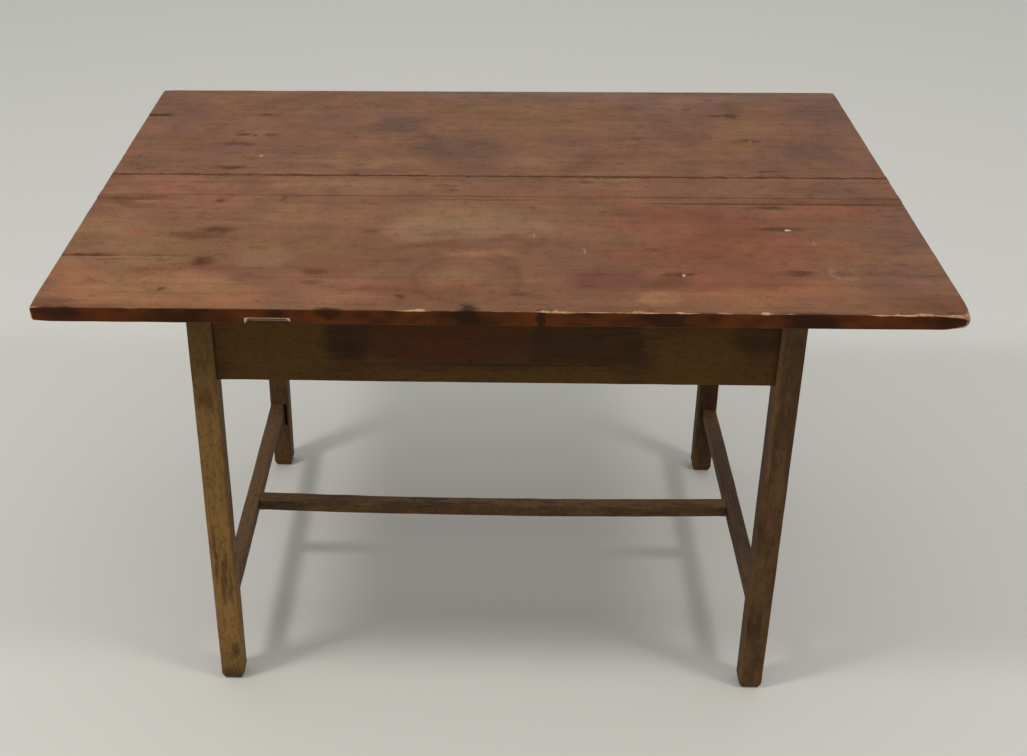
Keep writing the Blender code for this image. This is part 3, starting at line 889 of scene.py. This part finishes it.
# %% Red paint
FRESH_WOOD = srgb(206, 178, 142)
BARE_WOOD = srgb(196, 154, 114)
HANDLED_WOOD = srgb(156, 104, 72)
EDGE_STAIN = srgb(46, 26, 12)
RUBBED_THIN = (1.25, 1.25, 1.20, 1.0)
FRONT_EDGE = cad_low.y
EDGE_STAINS = (
    ((-0.585, FRONT_EDGE, 0.728), (0.050, 0.010, 0.012), 0.7),
    ((-0.360, FRONT_EDGE, 0.722), (0.020, 0.008, 0.014), 0.4),
    ((-0.220, FRONT_EDGE, 0.729), (0.026, 0.012, 0.012), 0.85),
    ((-0.036, FRONT_EDGE, 0.726), (0.024, 0.032, 0.021), 1.0),
    ((0.059, FRONT_EDGE, 0.724), (0.010, 0.010, 0.022), 0.9),
    ((0.415, FRONT_EDGE, 0.724), (0.034, 0.010, 0.018), 0.7),
    ((0.590, FRONT_EDGE, 0.720), (0.022, 0.010, 0.014), 0.5),
)


def red_paint(name, low, high):
    """The paint of the board between two corners, with the marks that lie on it."""

    def here(marks):
        return [mark for mark in marks if low.y - SKIN < mark[0][1] < high.y + SKIN]

    def ovals(marks, soft):
        return [
            recipe.spot(astray, (*middle, 0), (*size, ENDLESS), hold, soft)
            for middle, size, hold in here(marks)
        ]

    def rings(marks):
        return [recipe.ring(astray, (*middle, 0), *size) for middle, *size in here(marks)]

    recipe = Recipe(name)
    astray = recipe.stray(0.008, (60, 85, 85))
    streaks = recipe.cloud((4, 95, 95), detail=5, roughness=0.62)
    fibres = recipe.cloud((22, 640, 640), detail=3, roughness=0.6)
    mottle = recipe.cloud((48, 70, 70), detail=5, roughness=0.7)
    grit = recipe.cloud((170, 260, 260), detail=4, roughness=0.7)
    colour = recipe.attribute("tone", "Color")
    colour = recipe.layer(colour, GRIME, recipe.ramp(mottle, 0.50, 0.76, 0.0, 0.42))
    colour = recipe.layer(colour, GRIME, recipe.ramp(streaks, 0.52, 0.72, 0.0, 0.28))
    colour = recipe.layer(colour, RUBBED_THIN, recipe.ramp(streaks, 0.46, 0.28, 0.0, 0.5), "MULTIPLY")
    colour = recipe.layer(colour, GRIME, recipe.ramp(grit, 0.52, 0.74, 0.0, 0.38))
    colour = recipe.layer(colour, RUBBED_THIN, recipe.ramp(grit, 0.46, 0.26), "MULTIPLY")
    masks = ovals(STAINS, STAIN_SOFTNESS) + rings(DARK_RINGS)
    for seam in sorted({low.y, high.y} - {cad_low.y, cad_high.y}):
        hold = REAR_SEAM_HOLD if seam > 0 else FRONT_SEAM_HOLD
        size = (ENDLESS, SEAM_GRIME, ENDLESS)
        masks.append(recipe.spot(astray, (0, seam, 0), size, hold, STAIN_SOFTNESS))
    mottled = recipe.ramp(mottle, 0.30, 0.52, 0.55, 1.0)
    ragged = recipe.maths("MULTIPLY", recipe.strongest(masks), mottled)
    colour = recipe.layer(colour, STAIN, ragged, "DARKEN")
    masks = [recipe.spot(astray, *mark, MARK_SOFTNESS) for mark in here(EDGE_STAINS)]
    colour = recipe.layer(colour, EDGE_STAIN, recipe.strongest(masks))
    colour = recipe.layer(colour, PALE_MARK, recipe.strongest(ovals(PALE_MARKS, MARK_SOFTNESS)))
    mottled = recipe.ramp(mottle, 0.40, 0.56)
    broken = recipe.maths("MULTIPLY", recipe.strongest(rings(PALE_RINGS)), mottled)
    colour = recipe.layer(colour, PALE_MARK, broken)
    rubbed = recipe.rubbed(mottle)
    bare = recipe.layer(BARE_WOOD, HANDLED_WOOD, recipe.ramp(grit, 0.47, 0.67))
    colour = recipe.layer(colour, bare, recipe.ramp(rubbed, 1.15, 1.45, 0.0, 0.92))
    colour = recipe.layer(colour, FRESH_WOOD, recipe.ramp(rubbed, 1.6, 2.2))
    roughness = recipe.ramp(mottle, 0.3, 0.7, 0.44, 0.58)
    return recipe.done(colour, roughness, recipe.relief(streaks, fibres), 0.0004, gloss=0.06)


for node, shape in top_shapes.items():
    dress(node, shape, "painted_top", red_paint("red_paint_" + node, *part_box(node)), pine_along_x)

# %% [markdown]
# ## Paint of the frame
#
# The frame had the same brown coat, but hands, feet and mops met each piece differently: the front left
# leg is worn to a golden tan, the right one is still dark. One function mixes the coat, long streaks
# along the grain, a worn tone and a list of local patches. The grain axis is a value, so that legs,
# aprons and stretchers can share it.

# %% Frame paint
RUBBED_FRAME = srgb(134, 98, 58)
FRAME_GRIME = srgb(40, 27, 16)


def frame_paint(name, axis, coat, worn, patches=(), flecked=0.45):
    """Old brown paint, with patches of a tone and a kind. Each has a centre, half-widths and a strength."""
    recipe = Recipe(name)
    adrift = recipe.stray(0.012, with_grain(axis, 22, 70))
    blotch = recipe.cloud(with_grain(axis, 13, 34), detail=5, roughness=0.68)
    flecks = recipe.cloud(with_grain(axis, 16, 260), detail=5, roughness=0.7)
    mottle = recipe.cloud(with_grain(axis, 90, 160), detail=5, roughness=0.75)
    fibres = recipe.cloud(with_grain(axis, 26, 700), detail=3, roughness=0.6)
    colour = recipe.layer(coat, worn, recipe.ramp(blotch, 0.40, 0.60))
    broken = recipe.ramp(flecks, 0.38, 0.56, 1.0 - flecked, 1.0)
    for tone, kind, *places in patches:
        ground = recipe.place if kind == "crack" else adrift
        draw = recipe.panel if kind == "panel" else recipe.spot
        masks = [draw(ground, *place) for place in places]
        colour = recipe.layer(colour, tone, recipe.maths("MULTIPLY", recipe.strongest(masks), broken))
    colour = recipe.layer(colour, FRAME_GRIME, recipe.ramp(flecks, 0.52, 0.70, 0.0, flecked))
    colour = recipe.layer(colour, FRAME_GRIME, recipe.ramp(mottle, 0.46, 0.68, 0.0, 0.45))
    bared = recipe.ramp(recipe.rubbed(mottle), 1.05, 1.35, 0.0, 0.6)
    colour = recipe.layer(colour, RUBBED_FRAME, bared)
    roughness = recipe.ramp(blotch, 0.3, 0.7, 0.50, 0.66)
    return recipe.done(colour, roughness, recipe.relief(flecks, fibres), 0.0005, gloss=0.1)


# %% [markdown]
# ## Legs
#
# Four square legs run from the floor to the underside of the top. Their feet are chamfered so that they
# don't splinter when the table is dragged. The rear left leg keeps an old mortise, cut for a rail that
# isn't there any more: its mouth is sliced into the front face, and `extrude_face_region` pushes it into
# the wood.

# %% Leg shapes
LEGS = ("leg_front_left", "leg_front_right", "leg_rear_left", "leg_rear_right")
LEG_STEPS = (0.006, 0.006, 0.006)
LEG_RADIUS = 0.0024
LEG_WAVER = 0.00025
KICKED_RADIUS = 0.0012
KICKED_HEIGHT = 0.12
FOOT_RISE = 0.010
FOOT_INSET = 0.0035
OLD_MORTISE_LEG = "leg_rear_left"
OLD_MORTISE = ((-0.4115, -0.4055), (0.096, 0.144))
OLD_MORTISE_DEPTH = 0.016


def leg_radius(co):
    """Arrises of a leg are rubbed unevenly, and most of all near the foot."""
    kicked = KICKED_RADIUS * (1 - ease(co.z / KICKED_HEIGHT))
    return LEG_RADIUS * (1 + 0.45 * ripple(co, (40, 40, 18), 5.3)) + kicked


def taper_foot(bm, low, high):
    middle = (low + high) / 2
    half = (high.x - low.x) / 2
    for vert in bm.verts:
        rise = clamp((vert.co.z - low.z) / FOOT_RISE)
        narrow = 1 - FOOT_INSET / half * (1 - rise)
        vert.co.x = middle.x + (vert.co.x - middle.x) * narrow
        vert.co.y = middle.y + (vert.co.y - middle.y) * narrow


def cut_old_mortise(bm, low):
    """Sinks the faces inside the mortise's mouth into the leg."""
    (left, right), (bottom, top) = OLD_MORTISE
    mouth = []
    for face in bm.faces:
        centre = face.calc_center_median()
        if left < centre.x < right and bottom < centre.z < top and centre.y < low.y + LEG_RADIUS:
            mouth.append(face)
    pushed = bmesh.ops.extrude_face_region(bm, geom=mouth)["geom"]
    bmesh.ops.delete(bm, geom=mouth, context="FACES")
    moved = [item for item in pushed if isinstance(item, bmesh.types.BMVert)]
    bmesh.ops.translate(bm, verts=moved, vec=(0, OLD_MORTISE_DEPTH, 0))


def leg_shape(node):
    low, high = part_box(node)
    slots = OLD_MORTISE if node == OLD_MORTISE_LEG else ((), ())
    heights = [low.z + FOOT_RISE * share for share in (0.8, 1.0, 1.2)] + list(slots[1])
    bm = sliced_block(low, high, LEG_STEPS, (slots[0], (), heights))
    rub_arrises(bm, low, high, leg_radius)
    taper_foot(bm, low, high)
    waver(bm, LEG_WAVER, (60, 60, 9), low.x + low.y)
    for vert in bm.verts:
        vert.co.z = clamp(vert.co.z, low.z, high.z)
    if node == OLD_MORTISE_LEG:
        cut_old_mortise(bm, low)
    return bm


# %% Leg paint
FRONT_LEFT = (-0.420, -0.322)
FRONT_RIGHT = (0.420, -0.322)
REAR_RIGHT = (0.420, 0.322)
LEG_PATCHES = (
    (srgb(139, 103, 55), "spot", ((*FRONT_LEFT, 0.29), (0.06, 0.06, 0.42), 1.0, 0.45)),
    # Partly grime and partly painted shade: the top of the front left leg, under the overhang, is painted
    # darker for the shadow that falls there.
    (srgb(96, 71, 36), "spot", ((*FRONT_LEFT, 0.66), (0.06, 0.06, 0.13), 0.9, 0.4)),
    (
        srgb(62, 42, 22),
        "spot",
        ((-0.42, -0.34, 0.53), (0.018, 0.01, 0.034), 0.7),
        ((-0.43, -0.34, 0.25), (0.006, 0.01, 0.08), 0.8),
        ((-0.418, -0.34, 0.21), (0.008, 0.01, 0.07), 0.8),
        ((-0.408, -0.34, 0.19), (0.005, 0.01, 0.08), 0.6),
        ((-0.412, -0.34, 0.06), (0.01, 0.01, 0.024), 0.8),
        ((-0.42, -0.33, 0.0), (0.04, 0.04, 0.04), 0.8),
        # Painted shade: a dark strip down the whole inner face of the front left leg, for the shade on that
        # face.
        ((-0.402, -0.322, 0.35), (0.006, 0.03, 0.4), 0.7),
    ),
    (
        srgb(116, 82, 52),
        "spot",
        ((0.404, -0.338, 0.51), (0.009, 0.012, 0.19), 0.9),
        ((0.424, -0.34, 0.42), (0.014, 0.01, 0.09), 0.6),
    ),
    (srgb(100, 62, 40), "spot", ((*FRONT_RIGHT, 0.33), (0.03, 0.03, 0.11), 0.6)),
    (srgb(46, 30, 18), "spot", ((0.414, -0.34, 0.13), (0.016, 0.01, 0.05), 0.7)),
    (srgb(54, 37, 26), "spot", ((*REAR_RIGHT, 0.3), (0.03, 0.03, 0.5), 0.9, 0.3)),
)
leg_paint = frame_paint("worn_leg_paint", 2, srgb(76, 53, 30), srgb(92, 66, 38), LEG_PATCHES, 0.38)
for node in LEGS:
    dress(node, leg_shape(node), "leg_paint", leg_paint)

# %% [markdown]
# ## Aprons
#
# Four deep boards on edge tie the legs together under the top. Their tenons are out of sight in the legs,
# so the dressed board stops at its shoulders. Paint covers the outer face and the lower edge, and the
# inner face is bare.


# %% Apron shapes
def between(node, axis, first, second):
    """The box of a node, cut off at the facing sides of the two pieces that it joins."""
    low, high = (corner.copy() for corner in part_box(node))
    low[axis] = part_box(first)[1][axis]
    high[axis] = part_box(second)[0][axis]
    return low, high


APRON_STEP = 0.008
APRON_RADIUS = 0.0016
APRON_WAVER = 0.0003
SHOULDER_REACH = 0.01
SHOULDER_SHARE = 0.25
FACES_IN = 0.7
APRONS = {
    "apron_front": (0, "leg_front_left", "leg_front_right", Vector((0, 1, 0))),
    "apron_rear": (0, "leg_rear_left", "leg_rear_right", Vector((0, -1, 0))),
    "apron_left": (1, "leg_front_left", "leg_rear_left", Vector((1, 0, 0))),
    "apron_right": (1, "leg_front_right", "leg_rear_right", Vector((-1, 0, 0))),
}


def rail_radius(low, high, axis, radius):
    """Arrises that run along a rail are rubbed, and its shoulders stay crisp."""

    def radius_at(co):
        shoulder = min(co[axis] - low[axis], high[axis] - co[axis])
        rubbed = radius * (1 + 0.5 * ripple(co, (22, 22, 22), radius * 1000))
        return rubbed * (SHOULDER_SHARE + (1 - SHOULDER_SHARE) * ease(shoulder / SHOULDER_REACH))

    return radius_at


def apron_shape(node, axis, first, second, inward):
    low, high = between(node, axis, first, second)
    bm = sliced_block(low, high, (APRON_STEP, APRON_STEP, APRON_STEP))
    rub_arrises(bm, low, high, rail_radius(low, high, axis, APRON_RADIUS))
    waver(bm, APRON_WAVER, with_grain(axis, 7, 24), 11.0)
    bm.normal_update()
    for face in bm.faces:
        face.material_index = int(face.normal.dot(inward) > FACES_IN)
    return bm


# %% Apron paint
APRON_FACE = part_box("apron_front")[0].y
APRON_PATCHES = (
    (srgb(74, 37, 14), "spot", ((-0.08, APRON_FACE, 0.64), (0.17, 0.02, 0.064), 0.9, 0.4)),
    (
        srgb(84, 58, 18),
        "spot",
        ((-0.31, APRON_FACE, 0.62), (0.11, 0.02, 0.08), 0.8, 0.5),
        ((0.29, APRON_FACE, 0.6), (0.08, 0.02, 0.06), 0.9, 0.4),
        ((0.01, APRON_FACE, 0.57), (0.26, 0.02, 0.014), 0.8, 0.4),
    ),
    (
        srgb(46, 27, 10),
        "spot",
        ((-0.212, APRON_FACE, 0.622), (0.046, 0.02, 0.044), 0.9, 0.6),
        ((-0.19, APRON_FACE, 0.66), (0.09, 0.02, 0.02), 0.5, 0.6),
        ((0.375, APRON_FACE, 0.64), (0.05, 0.02, 0.05), 0.7, 0.6),
    ),
    (srgb(57, 34, 14), "panel", ((0.132, APRON_FACE, 0.65), (0.086, 0.02, 0.064), 0.9, 0.15)),
    (FRAME_GRIME, "spot", ((-0.033, APRON_FACE, 0.596), (0.006, 0.01, 0.005), 0.9)),
    (FRAME_GRIME, "crack", ((0.01, APRON_FACE, 0.5885), (0.24, 0.01, 0.0028), 1.0, 1.0)),
)
APRON_COAT = srgb(71, 45, 16)
APRON_WORN = srgb(82, 54, 20)
apron_paint_along_x = frame_paint("apron_paint_lengthwise", 0, APRON_COAT, APRON_WORN, APRON_PATCHES, 0.35)
apron_paint_along_y = frame_paint("apron_paint_crosswise", 1, APRON_COAT, APRON_WORN, flecked=0.35)
for node, (axis, first, second, inward) in APRONS.items():
    finishes = ((apron_paint_along_x, pine_along_x), (apron_paint_along_y, pine_along_y))[axis]
    dress(node, apron_shape(node, axis, first, second, inward), "apron_paint", *finishes)

# %% [markdown]
# ## Stretchers
#
# Low down, two side stretchers join the legs and one long stretcher joins the side stretchers. Feet have
# rested on them, so their upper arrises are the roundest on the table. The long one has sagged a little:
# after it is sliced and rubbed, each vertex drops by a parabola that is zero at both ends.

# %% Stretcher shapes
STRETCHER_STEP = 0.006
STRETCHER_RADIUS = 0.0030
STRETCHER_WAVER = 0.0004
STRETCHER_HEIGHT = 0.023
STRETCHERS = {
    "stretcher_left": (1, "leg_front_left", "leg_rear_left"),
    "stretcher_right": (1, "leg_front_right", "leg_rear_right"),
    "stretcher_centre": (0, "stretcher_left", "stretcher_right"),
}


def stretcher_shape(node, axis, first, second):
    low, high = between(node, axis, first, second)
    sag = high.z - low.z - STRETCHER_HEIGHT
    low.z = high.z - STRETCHER_HEIGHT
    bm = sliced_block(low, high, (STRETCHER_STEP, STRETCHER_STEP, STRETCHER_STEP))
    rub_arrises(bm, low, high, rail_radius(low, high, axis, STRETCHER_RADIUS))
    waver(bm, STRETCHER_WAVER, with_grain(axis, 8, 30), 17.0)
    for vert in bm.verts:
        share = (vert.co[axis] - low[axis]) / (high[axis] - low[axis])
        vert.co.z -= sag * 4 * share * (1 - share)
    return bm


# %% Stretcher paint
SIDE_PATCHES = (
    (srgb(110, 86, 55), "spot", ((-0.425, 0.0, 0.144), (0.024, 0.4, 0.016), 0.9)),
    (srgb(66, 48, 39), "spot", ((0.425, 0.0, 0.132), (0.03, 0.33, 0.03), 0.9)),
)
CENTRE_PATCHES = (
    (srgb(138, 106, 72), "spot", ((0.05, -0.017, 0.141), (0.42, 0.03, 0.007), 0.9)),
    (srgb(54, 37, 25), "spot", ((-0.37, -0.03, 0.13), (0.07, 0.012, 0.016), 0.8)),
)
STRETCHER_COAT = srgb(88, 63, 41)
STRETCHER_WORN = srgb(104, 78, 51)
stretcher_paint_along_x = frame_paint(
    "stretcher_paint_lengthwise", 0, STRETCHER_COAT, STRETCHER_WORN, CENTRE_PATCHES
)
stretcher_paint_along_y = frame_paint(
    "stretcher_paint_crosswise", 1, STRETCHER_COAT, STRETCHER_WORN, SIDE_PATCHES
)
for node, (axis, first, second) in STRETCHERS.items():
    finish = (stretcher_paint_along_x, stretcher_paint_along_y)[axis]
    dress(node, stretcher_shape(node, axis, first, second), "stretcher_wood", finish)

# %% [markdown]
# ## Nails and pegs
#
# The nails are hand forged, and their heads have rusted brown, apart from two in the middle board that
# were painted over. So were the pegs that lock the tenons, which only show as low bumps. Their solids
# already have the right shape, and keep it: all they need is a finish in the place of the plain one.

# %% Rusty iron
IRON = srgb(74, 44, 27)
RUST = srgb(98, 58, 34)


def rusty_iron(name):
    recipe = Recipe(name)
    scale = recipe.cloud((420, 420, 420), detail=4, roughness=0.65)
    bloom = recipe.cloud((90, 90, 90), detail=3, roughness=0.55)
    colour = recipe.layer(IRON, RUST, recipe.ramp(bloom, 0.42, 0.66, 0.0, 0.7))
    recipe.shader.inputs["Metallic"].default_value = 0.15
    return recipe.done(colour, recipe.ramp(scale, 0.3, 0.7, 0.5, 0.75), scale, 0.0003, gloss=0.4)


def refinish(node, finish):
    """Gives a solid that keeps its shape a new finish."""
    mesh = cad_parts[node].data
    mesh.materials.clear()
    mesh.materials.append(finish)


nail_iron = rusty_iron("rusty_iron")
nail_paint = frame_paint("painted_nail", 0, srgb(120, 82, 58), srgb(130, 90, 64))
middle_low, middle_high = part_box("top_board_middle")
for nail, place in nail_places.items():
    painted_over = middle_low.y < place.y < middle_high.y
    refinish(nail, nail_paint if painted_over else nail_iron)

peg_wood = frame_paint("peg_wood", 2, srgb(66, 46, 32), srgb(84, 58, 38))
pegs = [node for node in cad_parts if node.startswith("peg_")]
for peg in pegs:
    refinish(peg, peg_wood if peg.startswith("peg_stretcher") else leg_paint)
print(len(nail_places), "nails and", len(pegs), "pegs refinished")
